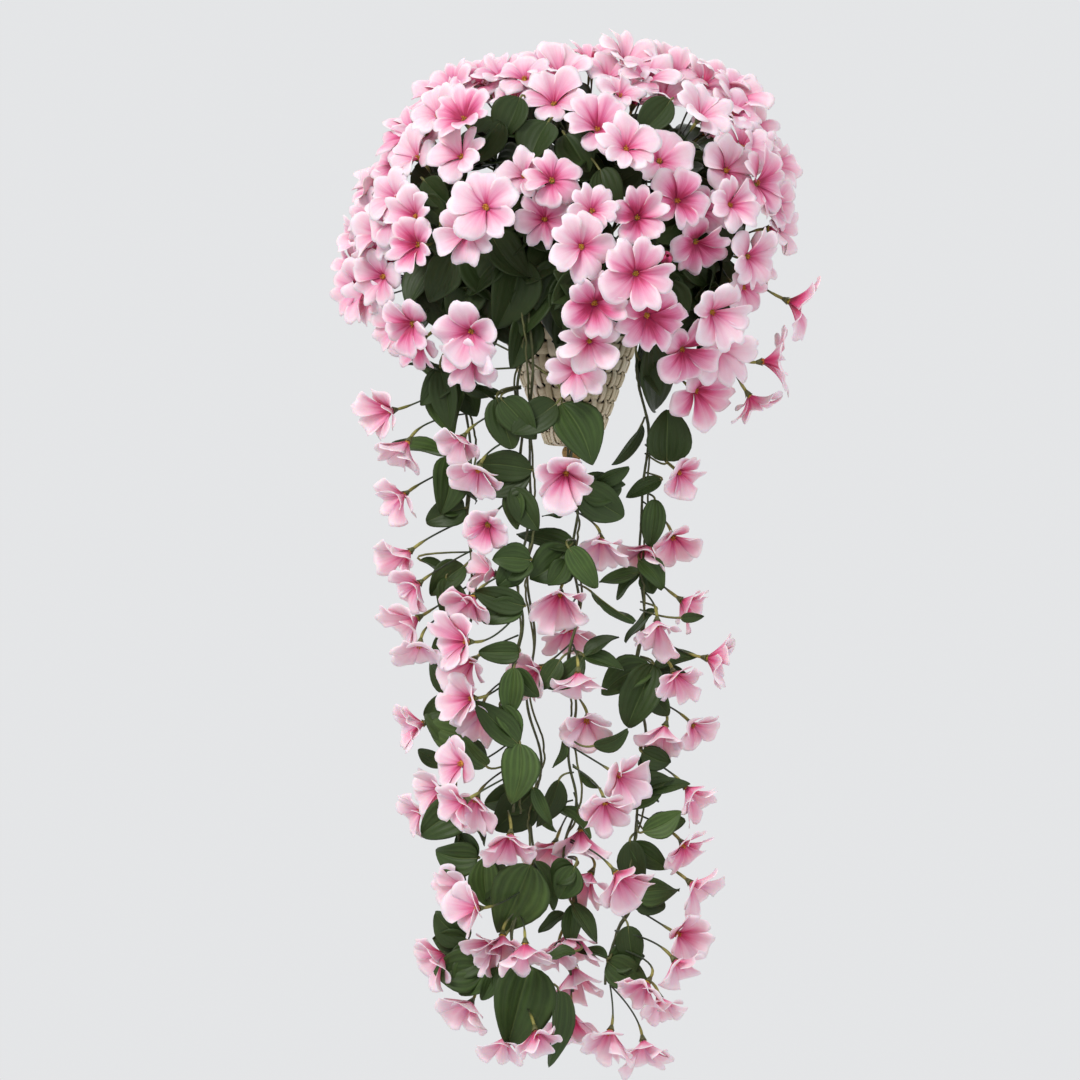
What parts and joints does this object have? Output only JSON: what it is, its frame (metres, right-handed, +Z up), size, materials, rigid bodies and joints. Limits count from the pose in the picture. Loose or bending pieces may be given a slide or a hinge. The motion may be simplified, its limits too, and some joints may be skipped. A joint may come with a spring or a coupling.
{
  "type": "hanging flower basket",
  "caption": "Small woven cone wall basket on a wire loop, filled with a dome of pink five-petalled blooms and long trailing leafy vines.",
  "frame": {"origin": "where the nail bears, at the inside of the top of the wire hanging loop", "axes": "+Z up, +X to the right seen from the front, the viewer at -Y; the wire loop lies in the plane Y = 0 and the wall's face at Y = +4.3 mm"},
  "size_m": [0.3782, 0.2057, 0.7817],
  "materials": {
    "petal_pink": "matte, pale pink with a rose throat",
    "leaf_green": "satin, dark green",
    "stem_olive": "satin",
    "basket_weave": "matte woven strips, cream to tan",
    "rim_braid": "matte braid",
    "hanger_wire": "satin, dark olive grey",
    "raffia": "matte, crumpled",
    "foam": "matte, fine open cells under moss"
  },
  "bodies": {
    "root": {"basket_cone": "basket_weave", "rim_hoop": "rim_braid", "hanging_loop": "hanger_wire", "raffia_tuft": "raffia", "foam_block": "foam", "head_spray_01": "petal_pink", "head_spray_02": "petal_pink", "head_spray_03": "petal_pink", "head_spray_04": "petal_pink", "head_spray_05": "petal_pink", "head_spray_06": "petal_pink", "head_spray_07": "petal_pink", "head_spray_08": "petal_pink", "head_spray_09": "petal_pink", "head_spray_10": "petal_pink", "head_spray_11": "petal_pink", "head_spray_12": "petal_pink", "head_spray_13": "petal_pink", "head_spray_14": "petal_pink", "head_spray_15": "petal_pink", "head_spray_16": "petal_pink", "head_spray_17": "petal_pink", "vine_01": "leaf_green", "vine_02": "leaf_green", "vine_03": "leaf_green", "vine_04": "leaf_green", "vine_05": "leaf_green"}
  },
  "joints": []
}
